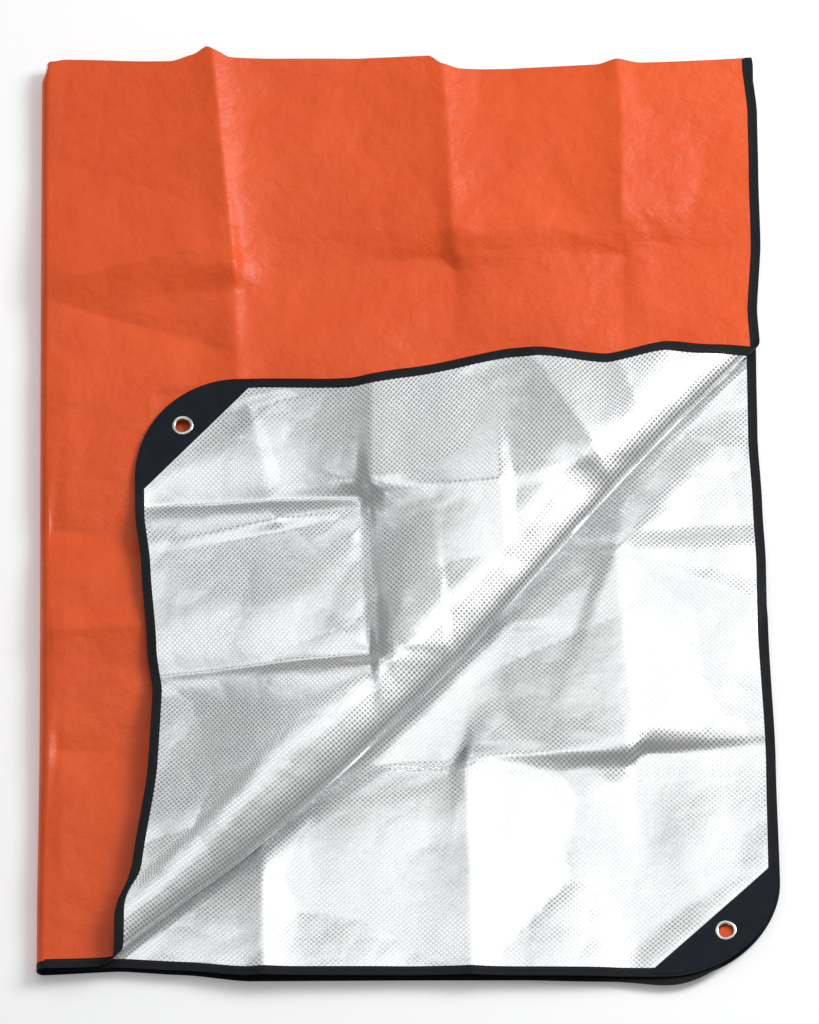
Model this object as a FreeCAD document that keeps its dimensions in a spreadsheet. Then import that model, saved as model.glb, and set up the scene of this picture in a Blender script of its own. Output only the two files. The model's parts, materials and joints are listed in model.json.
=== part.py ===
"""A heavy-duty reflective blanket, folded in quarters with its top corner turned back.

Millimetres, +Z up. The folded blanket lies on the XY plane: its two folds are along the left (-X) and
top (+Y) sides, and its open, taped edges are along the right (+X) and bottom (-Y) sides. The origin is
the centre of the bounding box's base.

The cloth is a laminate of three films. It lies in four layers, each a quarter of the blanket:
    a  the lowest, silver side up, on the floor
    b  above it, orange side up, joined to a by the lower fold along the top side
    c  above that, silver side up, joined to b by the inner fold along the left side
    d  the uppermost, orange side up, joined to c by the upper fold along the top side
    flap  d's own corner, turned back over d along a slanting roll, so its silver side is up
The outer fold along the left side wraps the inner one and runs from a to d.

Each layer is modelled from its own outer corner: x runs from the corner to the left as negative
numbers, y runs up from it, and z is 0 at the laminate's underside.
"""

import FreeCAD, Part
import math
import os
import Sketcher

V = FreeCAD.Vector

# Driving dimensions, in millimetres and degrees.
SIZES = {
    "blanket_width": 1524.0,
    "blanket_length": 2134.0,
    "film": 0.15,  # each of the laminate's three films
    "layer_pitch": 5.0,  # a creased layer stands this far above the next
    "inner_setback": 3.4,  # the inner left fold reaches this far into the outer one
    "side_step": 4.0,  # the lower layers stick out this far at the right
    "corner_radius": 115.0,
    "tape_width": 10.0,
    "tape": 0.5,  # thickness of the edge tape
    "patch_leg": 135.0,
    "patch": 0.4,
    "seam_inset": 7.5,  # the tape's seam, from the blanket's edge
    "thread_width": 0.6,
    "thread_height": 0.3,
    "grommet_inset": 53.0,  # from both edges to the grommet's centre
    "bore_radius": 7.5,
    "barrel_wall": 0.6,
    "flange_radius": 11.2,
    "flange_height": 0.9,
    "flange_edge": 0.25,  # the flange's thickness where its dome ends
    "washer": 0.5,
    "rim_height": 0.4,  # the rolled end of the barrel stands this far out of the washer
    "rim_width": 1.3,  # and reaches this far over it
    "play": 0.15,  # round the barrel, and between neighbours that don't touch
    "roll_radius": 20.0,  # of the slanting roll that the turned-back corner makes
    "roll_low": 66.0,  # the roll's outer line meets the bottom edge this far from the left fold
    "roll_angle": 45.8,  # its direction, from the bottom edge
    "flap_tilt": 4.7,  # the flap slopes down from the roll to rest on layer d
}


def new_sheet(doc, name, cells):
    """A spreadsheet of plain numbers, each with an alias."""
    sheet = doc.addObject("Spreadsheet::Sheet", name)
    for row, (alias, number) in enumerate(cells.items(), start=1):
        sheet.set(f"A{row}", alias)
        sheet.set(f"B{row}", str(number))
        sheet.setAlias(f"B{row}", alias)
    doc.recompute()
    return sheet


def lay_out(n):
    """The sizes that follow from the driving ones. Each fold takes pi times its radius of cloth."""
    inner_fold = n["layer_pitch"] / 2
    outer_fold = 3 * inner_fold
    turn = math.radians(n["roll_angle"])
    tilt = math.radians(n["flap_tilt"])
    outer_half = (n["blanket_width"] - math.pi * outer_fold) / 2
    inner_half = (n["blanket_width"] - math.pi * inner_fold) / 2
    wide = {
        "a": outer_half + n["side_step"],
        "b": inner_half + n["side_step"],
        "c": inner_half - n["side_step"],
        "d": outer_half - n["side_step"],
    }
    # Along the bottom edge, from d's corner: to the roll's outer line, to where d's flat part ends, and
    # to where the flap's flat part begins once the cloth in the roll is taken off.
    to_line = wide["d"] - n["roll_low"]
    radius = n["roll_radius"]
    d_end = to_line + radius / math.sin(turn)
    flap_end = d_end - (math.pi + tilt) * radius / math.sin(turn)
    layout = {f"wide_{p}": w for p, w in wide.items()}
    layout.update({
        "long": (n["blanket_length"] - math.pi * inner_fold) / 2,
        "inner_fold": inner_fold,
        "outer_fold": outer_fold,
        "laminate": 3 * n["film"],
        "half_laminate": 1.5 * n["film"],
        "d_cut_x": d_end,
        "d_cut_y": d_end * math.tan(turn),
        "flap_x": flap_end,
        "flap_y": flap_end * math.tan(turn),
        "barrel": n["bore_radius"] + n["barrel_wall"],
        "hole": n["bore_radius"] + n["barrel_wall"] + n["play"],
    })
    # How much shorter a strip's end is at each distance from the edge, where the roll's slanted line cuts it.
    for inset in ("tape", "tape_width", "seam_inset", "thread_width"):
        layout[f"{inset}_across"] = n[inset] / math.tan(turn)
        layout[f"{inset}_up"] = n[inset] * math.tan(turn)
    return layout


doc = FreeCAD.newDocument("blanket")
sizes = new_sheet(doc, "sizes", SIZES)
layout = new_sheet(doc, "layout", lay_out(SIZES))
parts = []


def number(name):
    """A cell's value, from either sheet."""
    return float(getattr(sizes if name in SIZES else layout, name))


def formula(terms):
    """A sum of cells, such as "tape_width - tape", as an expression that a constraint can be bound to."""
    named = [t if t in "+-" else ("sizes." if t in SIZES else "layout.") + t for t in terms.split()]
    return " ".join(named)


def amount(terms):
    """The same sum as a number."""
    total, sign = 0.0, 1.0
    for t in terms.split():
        if t in "+-":
            sign = 1.0 if t == "+" else -1.0
        else:
            total += sign * number(t)
    return total


# Places in the blanket's frame.
LAM = number("laminate")
TAPE = number("tape")
PITCH = number("layer_pitch")
LONG = number("long")
under = number("washer") + number("rim_height")  # how far a grommet stands out of the orange side
reach_left = number("outer_fold") + LAM / 2 + TAPE
reach_top = number("inner_fold") + LAM / 2 + TAPE
furthest_right = number("wide_b") - number("inner_setback")
X_FOLD = (reach_left - furthest_right) / 2  # where layers a and d begin to turn into the outer fold
Y_FOLD = (LONG - reach_top) / 2  # where every layer begins to turn into its fold at the top
HEIGHT = {p: under + i * PITCH for i, p in enumerate("abcd")}
X_CORNER = {p: X_FOLD + number("wide_" + p) for p in "ad"}
X_CORNER.update({p: X_FOLD - number("inner_setback") + number("wide_" + p) for p in "bc"})
Y_CORNER = Y_FOLD - LONG
SILVER_UP = {"a": True, "b": False, "c": True, "d": False, "flap": False}

ROLL = number("roll_radius")
TURN = math.radians(number("roll_angle"))
TILT = math.radians(number("flap_tilt"))
ALONG = V(math.cos(TURN), math.sin(TURN), 0)
BACK = V(-math.sin(TURN), math.cos(TURN), 0)  # across the roll, towards the flap
ROLL_START = V(X_FOLD + number("roll_low"), Y_CORNER, HEIGHT["d"] + LAM / 2)
ROLL_AXIS = ROLL_START + V(0, 0, ROLL * (1 + math.tan(TILT / 2)))  # level with d as much as with the flap


def layer_place(panel):
    """Where a layer's own corner lies. The flap is laid out flat beyond the roll, then turned back."""
    if panel != "flap":
        return FreeCAD.Placement(V(X_CORNER[panel], Y_CORNER, HEIGHT[panel]), FreeCAD.Rotation())
    beyond = number("flap_x") * math.sin(TURN) + ROLL * (
        (1 + math.sin(TILT)) * math.cos(TILT) - (math.cos(TILT) - math.tan(TILT / 2)) * math.sin(TILT)
    )
    foot = (number("wide_d") - number("roll_low")) * math.cos(TURN)
    corner = ROLL_START + ALONG * foot - BACK * beyond - V(0, 0, LAM / 2)
    flat = FreeCAD.Placement(corner, FreeCAD.Rotation())
    back = FreeCAD.Rotation(ALONG, -180 - math.degrees(TILT))
    return FreeCAD.Placement(V(), back, ROLL_AXIS).multiply(flat)


# Sketches.
def new_body(name, place):
    body = doc.addObject("PartDesign::Body", name)
    body.Label = name
    body.Placement = place
    parts.append(body)
    return body


def new_sketch(body, name, role, level=0.0):
    plane = next(f for f in body.Origin.OriginFeatures if f.Role == role)
    sketch = body.newObject("Sketcher::SketchObject", f"{body.Name}_{name}")
    sketch.AttachmentSupport = [(plane, "")]
    sketch.MapMode = "FlatFace"
    sketch.AttachmentOffset = FreeCAD.Placement(V(0, 0, level), FreeCAD.Rotation())
    return sketch


def bind(sketch, constraint, terms, sign=1):
    """Adds a constraint whose value is a sum of cells."""
    index = sketch.addConstraint(constraint)
    sketch.setExpression(f"Constraints[{index}]", ("-(%s)" if sign < 0 else "%s") % formula(terms))


def fix_point(sketch, geometry, end, x_terms, y_terms):
    """Ties an end of an edge to its place. A term with a leading minus lies on the negative side."""
    for terms, kind, axis in ((x_terms, "DistanceX", -2), (y_terms, "DistanceY", -1)):
        if terms is None:
            continue
        if terms == "0":
            sketch.addConstraint(Sketcher.Constraint("PointOnObject", geometry, end, axis))
            continue
        sign = -1 if terms.startswith("~") else 1
        terms = terms.lstrip("~")
        value = sign * amount(terms)
        bind(sketch, Sketcher.Constraint(kind, -1, 1, geometry, end, value), terms, sign)


def place_of(corner):
    """A corner's place as numbers."""
    found = []
    for terms in corner[:2]:
        sign = -1 if terms.startswith("~") else 1
        found.append(0.0 if terms == "0" else sign * amount(terms.lstrip("~")))
    return V(found[0], found[1], 0)


def draw_loop(sketch, corners):
    """A closed outline of straight edges. A corner is (x, y) or (x, y, radius), as sums of cells."""
    places = [place_of(c) for c in corners]
    count = len(corners)
    starts, ends, arcs = list(places), list(places), {}
    for i, corner in enumerate(corners):
        if len(corner) == 3:
            radius = amount(corner[2])
            back = (places[i - 1] - places[i]).normalize()
            on = (places[(i + 1) % count] - places[i]).normalize()
            ends[i] = places[i] + back * radius
            starts[i] = places[i] + on * radius
            arcs[i] = (ends[i], starts[i], places[i] + (back + on) * radius, radius, corner[2])
    first = sketch.GeometryCount
    lines = [Part.LineSegment(starts[i], ends[(i + 1) % count]) for i in range(count)]
    sketch.addGeometry(lines, False)
    for i in range(count):
        line, after = first + i, (i + 1) % count
        if after not in arcs:
            sketch.addConstraint(Sketcher.Constraint("Coincident", line, 2, first + after, 1))
        run = ends[after] - starts[i]
        if abs(run.x) < 1e-6:
            sketch.addConstraint(Sketcher.Constraint("Vertical", line))
            fix_point(sketch, line, 1, corners[i][0], None)
        elif abs(run.y) < 1e-6:
            sketch.addConstraint(Sketcher.Constraint("Horizontal", line))
            fix_point(sketch, line, 1, None, corners[i][1])
        else:
            # Its level or upright neighbours leave one place free at each of its ends.
            before, beyond = places[i] - places[i - 1], places[(after + 1) % count] - places[after]
            for end, corner, neighbour in ((1, corners[i], before), (2, corners[after], beyond)):
                level = abs(neighbour.y) < 1e-6
                fix_point(sketch, line, end, corner[0] if level else None, None if level else corner[1])
    for i, (a, b, centre, radius, terms) in arcs.items():
        middle = centre + (places[i] - centre).normalize() * radius
        arc = sketch.addGeometry(Part.Arc(a, middle, b), False)
        flip = (a - centre).cross(b - centre).z < 0
        first_end, second_end = (2, 1) if flip else (1, 2)
        sketch.addConstraint(Sketcher.Constraint("Tangent", first + (i - 1) % count, 2, arc, first_end))
        sketch.addConstraint(Sketcher.Constraint("Tangent", first + i, 1, arc, second_end))
        bind(sketch, Sketcher.Constraint("Radius", arc, radius), terms)


def draw_circle(sketch, x_terms, y_terms, radius_terms):
    centre = place_of((x_terms, y_terms))
    circle = sketch.addGeometry(Part.Circle(centre, V(0, 0, 1), amount(radius_terms)), False)
    fix_point(sketch, circle, 3, x_terms, y_terms)
    bind(sketch, Sketcher.Constraint("Radius", circle, amount(radius_terms)), radius_terms)


def pad(body, sketch, terms):
    feature = body.newObject("PartDesign::Pad", f"{sketch.Name}_pad")
    feature.Profile = sketch
    feature.Length = amount(terms)
    feature.setExpression("Length", formula(terms))
    return feature


# Outlines, from a layer's own corner.
def slanted(length, inset, way):
    """A length along an edge to the roll's slanted line, at an inset from that edge."""
    if inset == "0":
        return length
    return " - ".join([length] + [f"{term}_{way}" for term in inset.split(" + ")])


def film_outline(panel, inset):
    """The laminate's outline, inset along the open edges where the tape folds round them."""
    if panel == "d":
        return [
            ("~wide_d", "long"), ("~wide_d", inset), (f"~{slanted('d_cut_x', inset, 'across')}", inset),
            (f"~{inset}", slanted("d_cut_y", inset, "up")), (f"~{inset}", "long"),
        ]
    if panel == "flap":
        return [
            (f"~{slanted('flap_x', inset, 'across')}", inset),
            (f"~{inset}", inset, f"corner_radius - {inset}"),
            (f"~{inset}", slanted("flap_y", inset, "up")),
        ]
    wide = "~wide_" + panel
    return [
        (wide, "long"), (wide, inset),
        (f"~{inset}", inset, f"corner_radius - {inset}"), (f"~{inset}", "long"),
    ]


def edge_bands(panel, near, far):
    """The strips between two distances from the open edges: one round the corner, or two for d."""
    round_far = (f"~{far}", far, f"corner_radius - {far}")
    round_near = ("0", "0", "corner_radius") if near == "0" else (f"~{near}", near, f"corner_radius - {near}")
    near_x = "0" if near == "0" else f"~{near}"
    if panel in ("d", "flap"):
        cut_x, cut_y = ("d_cut_x", "d_cut_y") if panel == "d" else ("flap_x", "flap_y")
        near_end, far_end = (f"~{slanted(cut_x, inset, 'across')}" for inset in (near, far))
        near_top, far_top = (slanted(cut_y, inset, "up") for inset in (near, far))
    if panel == "d":
        return [
            [("~wide_d", near), (near_end, near), (far_end, far), ("~wide_d", far)],
            [(near_x, near_top), (near_x, "long"), (f"~{far}", "long"), (f"~{far}", far_top)],
        ]
    if panel != "flap":
        near_end = far_end = "~wide_" + panel
        near_top = far_top = "long"
    return [[
        (near_end, near), round_near, (near_x, near_top), (f"~{far}", far_top), round_far, (far_end, far),
    ]]


# Sub-parts of a layer.
def make_film(panel, name, level):
    body = new_body(f"{panel}_{name}", layer_place(panel))
    sketch = new_sketch(body, "outline", "XY_Plane", level)
    draw_loop(sketch, film_outline(panel, "tape"))
    if panel != "d":
        draw_circle(sketch, "~grommet_inset", "grommet_inset", "hole")
    pad(body, sketch, "film")


def make_tape(panel):
    """The edge tape, a U round the laminate's edge: under it, outside it and over it."""
    body = new_body(f"{panel}_tape", layer_place(panel))
    for name, level, far, thick in (
        ("under", -TAPE, "tape_width", "tape"),
        ("edge", 0.0, "tape", "laminate"),
        ("over", LAM, "tape_width", "tape"),
    ):
        for i, band in enumerate(edge_bands(panel, "0", far)):
            sketch = new_sketch(body, f"{name}{i}", "XY_Plane", level)
            draw_loop(sketch, band)
            pad(body, sketch, thick)


def make_seam(panel):
    """The row of thread that holds the tape, on the silver side."""
    level = LAM + TAPE if SILVER_UP[panel] else -TAPE - number("thread_height")
    body = new_body(f"{panel}_seam", layer_place(panel))
    for i, band in enumerate(edge_bands(panel, "seam_inset", "seam_inset + thread_width")):
        sketch = new_sketch(body, f"row{i}", "XY_Plane", level)
        draw_loop(sketch, band)
        pad(body, sketch, "thread_height")


def silver_level(panel, thick, over=0.0):
    """The height of the underside of something that lies on the silver side, over what is already there."""
    return LAM + over if SILVER_UP[panel] else -over - number(thick)


def make_patch(panel):
    """The three-cornered patch, sewn in inside the tape."""
    body = new_body(f"{panel}_patch", layer_place(panel))
    sketch = new_sketch(body, "outline", "XY_Plane", silver_level(panel, "patch"))
    edge = "tape_width"
    draw_loop(sketch, [
        ("~patch_leg", edge), (f"~{edge}", edge, f"corner_radius - {edge}"), (f"~{edge}", "patch_leg"),
    ])
    draw_circle(sketch, "~grommet_inset", "grommet_inset", "hole")
    pad(body, sketch, "patch")


def make_patch_seam(panel):
    """The row of thread along the patch's long side."""
    body = new_body(f"{panel}_patch_seam", layer_place(panel))
    sketch = new_sketch(body, "row", "XY_Plane", silver_level(panel, "thread_height", number("patch")))
    out, near = "patch_leg - thread_width - thread_width", "tape_width + thread_width"
    draw_loop(sketch, [
        (f"~{out}", near), (f"~{out} + thread_width", near),
        (f"~{near}", f"{out} - thread_width"), (f"~{near}", out),
    ])
    pad(body, sketch, "thread_height")


def grommet_place(panel):
    """At the hole, with +Z out of the silver side."""
    inset = number("grommet_inset")
    if SILVER_UP[panel]:
        spot = FreeCAD.Placement(V(-inset, inset, 0), FreeCAD.Rotation())
    else:
        spot = FreeCAD.Placement(V(-inset, inset, LAM), FreeCAD.Rotation(V(1, 0, 0), 180))
    return layer_place(panel).multiply(spot)


def turned(name, place, outline):
    """A ring of revolution about Z. The outline is a list of (radius, height)."""
    body = new_body(name, place)
    sketch = new_sketch(body, "section", "XZ_Plane")
    count = len(outline)
    for i in range(count):
        sketch.addGeometry(Part.LineSegment(V(*outline[i], 0), V(*outline[(i + 1) % count], 0)), False)
    for i in range(count):
        sketch.addConstraint(Sketcher.Constraint("Coincident", i, 2, (i + 1) % count, 1))
        sketch.addConstraint(Sketcher.Constraint("Block", i))
    feature = body.newObject("PartDesign::Revolution", f"{name}_turn")
    feature.Profile = sketch
    feature.ReferenceAxis = (sketch, ["V_Axis"])
    feature.Angle = 360


def rounded(start, end, bulge, steps=6):
    """Points on an arc of an ellipse that rises by bulge from the line between two points at one height."""
    (r0, z0), (r1, _) = start, end
    middle, half = (r0 + r1) / 2, (r1 - r0) / 2
    angles = [math.pi * i / steps for i in range(steps + 1)]
    return [(middle - half * math.cos(t), z0 + bulge * math.sin(t)) for t in angles]


def make_grommet(panel):
    """The barrel, its domed flange on the patch and its rolled rim over the washer."""
    bore, barrel = number("bore_radius"), number("barrel")
    face = LAM + number("patch")
    back = -number("washer")
    base = face + number("flange_edge")
    bulge = number("flange_height") - number("flange_edge")
    dome = rounded((bore, base), (number("flange_radius"), base), bulge)
    rim = rounded((bore, back), (barrel + number("rim_width"), back), -number("rim_height"))
    turned(f"{panel}_grommet", grommet_place(panel), [
        *dome, (number("flange_radius"), face), (barrel, face), (barrel, back), *reversed(rim),
    ])


def make_washer(panel):
    """The ring under the rolled rim, on the orange side."""
    inner, outer = number("hole"), number("flange_radius")
    back, bevel = -number("washer"), number("washer") / 2
    turned(f"{panel}_washer", grommet_place(panel), [
        (inner, 0), (outer, 0), (outer, back + bevel), (outer - bevel, back), (inner, back),
    ])


# Folds: arcs of laminate between two layers.
def fold_section(sketch, near, far, start, end):
    """A band round the sketch's origin, between two radii as sums of cells and two angles in degrees."""
    angles = [math.radians(start), math.radians(end)]
    a, b = (V(math.cos(t), math.sin(t), 0) for t in angles)
    for terms in (near, far):
        circle = Part.Circle(V(), V(0, 0, 1), amount(terms))
        arc = sketch.addGeometry(Part.ArcOfCircle(circle, *angles), False)
        sketch.addConstraint(Sketcher.Constraint("Coincident", arc, 3, -1, 1))
        bind(sketch, Sketcher.Constraint("Radius", arc, amount(terms)), terms)
    for direction, end_of in ((a, 1), (b, 2)):
        line = sketch.addGeometry(Part.LineSegment(direction * amount(near), direction * amount(far)), False)
        sketch.addConstraint(Sketcher.Constraint("Coincident", line, 1, 0, end_of))
        sketch.addConstraint(Sketcher.Constraint("Coincident", line, 2, 1, end_of))


def make_fold(name, place, radius, start, end, length, tape_ends):
    """A fold along the place's Y axis: its laminate, and the tape round its open edges.

    The section is in the place's XZ plane, with angles from X. The laminate stops short of a taped end
    by the tape's thickness, as it does on the flat. The radius names a cell.
    """
    inside, outside = f"{radius} - half_laminate", f"{radius} + half_laminate"
    width, edge = number("tape_width"), TAPE
    low, high = tape_ends
    film = new_body(f"{name}_film", place)
    sketch = new_sketch(film, "section", "XZ_Plane", -edge if low else 0)
    fold_section(sketch, inside, outside, start, end)
    extrude(film, sketch, length - edge * (low + high))
    tape = new_body(f"{name}_tape", place)
    for at_end, taped in ((0.0, low), (length - width, high)):
        if not taped:
            continue
        closed_at = 0.0 if at_end == 0.0 else length - edge
        for part_name, near, far, along, run in (
            ("inside", f"{inside} - tape", inside, at_end, width),
            ("outside", outside, f"{outside} + tape", at_end, width),
            ("edge", inside, outside, closed_at, edge),
        ):
            sketch = new_sketch(tape, f"{part_name}{int(at_end > 0)}", "XZ_Plane", -along)
            fold_section(sketch, near, far, start, end)
            extrude(tape, sketch, run)


def extrude(body, sketch, run):
    """Pads a fold's section along +Y."""
    feature = body.newObject("PartDesign::Pad", f"{sketch.Name}_pad")
    feature.Profile = sketch
    feature.Length = run
    feature.Reversed = True


def make_folds():
    middle = LAM / 2
    across = FreeCAD.Rotation(V(0, 0, 1), -90)  # turns a fold's own Y axis to +X, and its X to -Y
    for name, low, high in (("lower_fold", "a", "b"), ("upper_fold", "d", "c")):
        level = (HEIGHT[low] + HEIGHT[high]) / 2 + middle
        start_x = max(X_CORNER[p] - number("wide_" + p) for p in (low, high))
        place = FreeCAD.Placement(V(start_x, Y_FOLD, level), across)
        length = min(X_CORNER[low], X_CORNER[high]) - start_x
        make_fold(name, place, "inner_fold", 90, 270, length, (False, True))
    upright = FreeCAD.Rotation()
    centre = (HEIGHT["a"] + HEIGHT["d"]) / 2 + middle
    place = FreeCAD.Placement(V(X_FOLD - number("inner_setback"), Y_CORNER, centre), upright)
    make_fold("inner_fold", place, "inner_fold", 90, 270, LONG, (True, False))
    place = FreeCAD.Placement(V(X_FOLD, Y_CORNER, centre), upright)
    gap = math.degrees(number("play") / number("outer_fold"))
    make_fold("outer_fold_a", place, "outer_fold", 180 + gap, 270, LONG, (True, False))
    make_fold("outer_fold_d", place, "outer_fold", 90, 180 - gap, LONG, (True, False))
    # The turned-back corner's roll bulges away from the flap, and its outer line ends at the open edges.
    slant = FreeCAD.Rotation(V(0, 0, 1), math.degrees(TURN) - 90)
    inset = TAPE + LAM
    place = FreeCAD.Placement(ROLL_START + BACK * ROLL + ALONG * inset + V(0, 0, ROLL), slant)
    run = (number("wide_d") - number("roll_low")) / math.cos(TURN) - 2 * inset
    end = 90 + number("flap_tilt") - math.degrees(number("play") / ROLL)
    make_fold("roll", place, "roll_radius", -90, end, run, (True, True))


for panel in ("a", "b", "c", "d", "flap"):
    order = ("orange_film", "scrim", "silver_film")
    for i, name in enumerate(order if SILVER_UP[panel] else reversed(order)):
        make_film(panel, name, i * number("film"))
    make_tape(panel)
    make_seam(panel)
    if panel != "d":
        make_patch(panel)
        make_patch_seam(panel)
        make_grommet(panel)
        make_washer(panel)
make_folds()
doc.recompute()

failed = [o.Name for o in doc.Objects if {"Invalid", "Error"} & set(o.State)]
failed += [b.Label for b in parts if b.Shape.isNull() or not b.Shape.isValid() or b.Shape.Volume <= 0]
if failed:
    raise RuntimeError(f"these did not build: {failed}")
os.makedirs("parts", exist_ok=True)
for body in parts:
    body.Shape.exportStep(f"parts/{body.Label}.step")
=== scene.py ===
"""The looks of a reflective blanket folded in quarters, with its top corner turned back over a soft roll.

Every piece of cloth is laid out flat first, in the plan coordinates of its own quarter, and then carried
to its folded place by that quarter's surface: creases, puckers and, for quarter d, the roll and the flap.
Films, edge tapes, patches, stitches and eyelets all go through the same surfaces, so they stay together.
Lengths are in metres.
"""

import json
import math

import bpy
import numpy as np
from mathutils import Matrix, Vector
from mathutils.geometry import delaunay_2d_cdt


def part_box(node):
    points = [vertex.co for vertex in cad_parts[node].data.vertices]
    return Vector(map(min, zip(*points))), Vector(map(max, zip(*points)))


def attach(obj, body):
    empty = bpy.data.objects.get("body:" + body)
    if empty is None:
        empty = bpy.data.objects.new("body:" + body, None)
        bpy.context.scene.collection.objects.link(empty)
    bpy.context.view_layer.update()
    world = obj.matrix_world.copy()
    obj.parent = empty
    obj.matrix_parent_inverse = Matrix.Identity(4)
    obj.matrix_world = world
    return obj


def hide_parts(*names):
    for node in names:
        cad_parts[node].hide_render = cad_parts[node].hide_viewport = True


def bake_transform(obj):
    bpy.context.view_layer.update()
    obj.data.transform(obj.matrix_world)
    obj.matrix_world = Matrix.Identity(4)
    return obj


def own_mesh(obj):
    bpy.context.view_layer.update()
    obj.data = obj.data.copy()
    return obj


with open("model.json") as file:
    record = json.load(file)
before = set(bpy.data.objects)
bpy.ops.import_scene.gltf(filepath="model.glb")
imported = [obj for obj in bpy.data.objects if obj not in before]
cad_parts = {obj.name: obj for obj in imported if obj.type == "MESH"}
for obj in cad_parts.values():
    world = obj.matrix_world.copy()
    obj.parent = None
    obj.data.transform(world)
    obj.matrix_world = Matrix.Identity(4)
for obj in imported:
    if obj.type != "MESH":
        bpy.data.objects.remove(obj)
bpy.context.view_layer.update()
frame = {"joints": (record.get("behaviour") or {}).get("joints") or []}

MM = 0.001
QUARTERS = "abcd"
SILVER_UP = {"a": True, "b": False, "c": True, "d": False}
BODY = {"a": "quarter_a", "b": "quarter_b", "c": "quarter_c", "d": "quarter_d"}

# Sizes read from the frame.
LEFT = {q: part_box(f"{q}_orange_film")[0].x for q in QUARTERS}
RIGHT = {q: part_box(f"{q}_tape")[1].x for q in QUARTERS}
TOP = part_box("a_orange_film")[1].y
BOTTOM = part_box("a_tape")[0].y
LEVEL = {q: (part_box(f"{q}_tape")[0].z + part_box(f"{q}_tape")[1].z) / 2 for q in QUARTERS}
WIDE, LONG = RIGHT["d"] - LEFT["d"], TOP - BOTTOM
HINGE = {j["name"]: j for j in frame["joints"]}
ROLL_AT = np.array(HINGE["corner_turn"]["pos_m"])
ALONG = np.array(HINGE["corner_turn"]["axis"][:2])
BACK = np.array([-ALONG[1], ALONG[0]])
ROLL_RUN = (RIGHT["d"] - ROLL_AT[0]) / ALONG[0]

# Sizes of the cloth's own details.
FILM = 0.22 * MM  # half the laminate's thickness
CORNER = 115 * MM
TAPE_WIDE = 10 * MM
PATCH_LEG = 135 * MM
EYELET_IN = 53 * MM
EYELET_HOLE = 8.4 * MM
EYELET_FLAT = 18 * MM  # how far round the eyelet the cloth's slope is taken from
BORE = 7.5 * MM
FLANGE = 11.2 * MM
NET_PITCH = 3.95 * MM
GRID = 3.6 * MM  # the films' mesh size
COARSER = {"d": 1.0, "c": 1.15, "b": 2.2, "a": 2.2}  # the two lowest quarters are hardly seen

CREST = 2.2 * MM  # how round a crease's top is
NORMAL_STEP = 0.4 * MM
CAMERA_HIGH = math.radians(64.2)
CAMERA_AWAY = 30.0
SEEN = 1.077  # what the picture's longer side takes in


def ease(x):
    """0 below 0, 1 above 1, smooth between."""
    x = np.clip(x, 0, 1)
    return x * x * (3 - 2 * x)


def at(u, v):
    """A place in the quarter: u from the left fold to the right edge, v from the top fold to the bottom."""
    return np.array([LEFT["d"] + u * WIDE, TOP - v * LONG])


# Creases. Each is a line from one place to another, with a height and a reach on each side.
def crease(points, start, end, high, reach, taper=0.12, other=None, narrow=1.0):
    """A fold that was pressed flat and opened again: a sharp line that the cloth rises or falls to.

    reach is its half width on the left of its direction, other the one on the right, and narrow is the
    share of them that is left at its end.
    """
    run = end - start
    length = np.hypot(*run)
    way = run / length
    rel = points - start
    along, off = rel @ way, rel @ np.array([-way[1], way[0]])
    ends = ease(along / (taper * length) + 0.5) * ease((length - along) / (taper * length) + 0.5)
    wide = np.where(off > 0, reach, other or reach) * (1 + (narrow - 1) * np.clip(along / length, 0, 1))
    away = np.hypot(off, CREST) - CREST
    return high * (0.55 * np.exp(-away / wide) + 0.45 * np.exp(-away / (3 * wide))) * ends


def pucker(points, centre, size, high, count, seed):
    """Short sharp wrinkles that run out from where two creases cross."""
    random = np.random.default_rng(seed)
    total = np.zeros(len(points))
    for k in range(count):
        turn = 2 * math.pi * (k + random.uniform(-0.3, 0.3)) / count
        way = np.array([math.cos(turn), math.sin(turn)])
        inner, outer = centre + way * size * 0.05, centre + way * size * random.uniform(0.6, 1.15)
        rise = high * random.uniform(0.4, 1.0) * (1 if k % 2 else -0.8)
        total += crease(points, inner, outer, rise, size * random.uniform(0.07, 0.13), 0.5)
    return total


def swell(points, cell, seed, octaves=3):
    """Smooth uneven ground: sums of a few slanting waves."""
    random = np.random.default_rng(seed)
    total = np.zeros(len(points))
    for k in range(octaves * 4):
        scale = cell / (1.0 + 0.8 * (k // 4))
        turn = random.uniform(0, math.pi)
        way = np.array([math.cos(turn), math.sin(turn)]) * 2 * math.pi / scale
        total += np.sin(points @ way + random.uniform(0, 6.3)) / (1 + k // 4)
    return total / (octaves * 2)


def facets(points, cell, seed):
    """Crumpled film: flat little faces that meet in sharp lines, from the distance to scattered seeds."""
    random = np.random.default_rng(seed)
    low, high = at(-0.3, 1.3), at(1.3, -0.3)
    count = np.ceil((high - low) / cell).astype(int)
    jitter = random.uniform(0.1, 0.9, (count[0] + 1, count[1] + 1, 2))
    tilt = random.uniform(-1, 1, (count[0] + 1, count[1] + 1, 3))
    own = np.floor((points - low) / cell).astype(int)
    best = np.full(len(points), -np.inf)
    for i in range(-2, 3):
        for j in range(-2, 3):
            k = np.clip(own + (i, j), 0, count)
            seed_at = low + (k + jitter[k[:, 0], k[:, 1]]) * cell
            lean = tilt[k[:, 0], k[:, 1]]
            rel = (points - seed_at) / cell
            face = lean[:, 0] * rel[:, 0] + lean[:, 1] * rel[:, 1] + 0.5 * lean[:, 2] - (rel**2).sum(1)
            best = np.maximum(best, face)
    return best


def shallow(z, depth=2.6 * MM, height=12 * MM):
    """Hollows can't be deeper than the gap to the layer below, and crests stay lower than height."""
    return np.where(z < 0, -depth * np.tanh(-z / depth), height * np.tanh(z / height))


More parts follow.
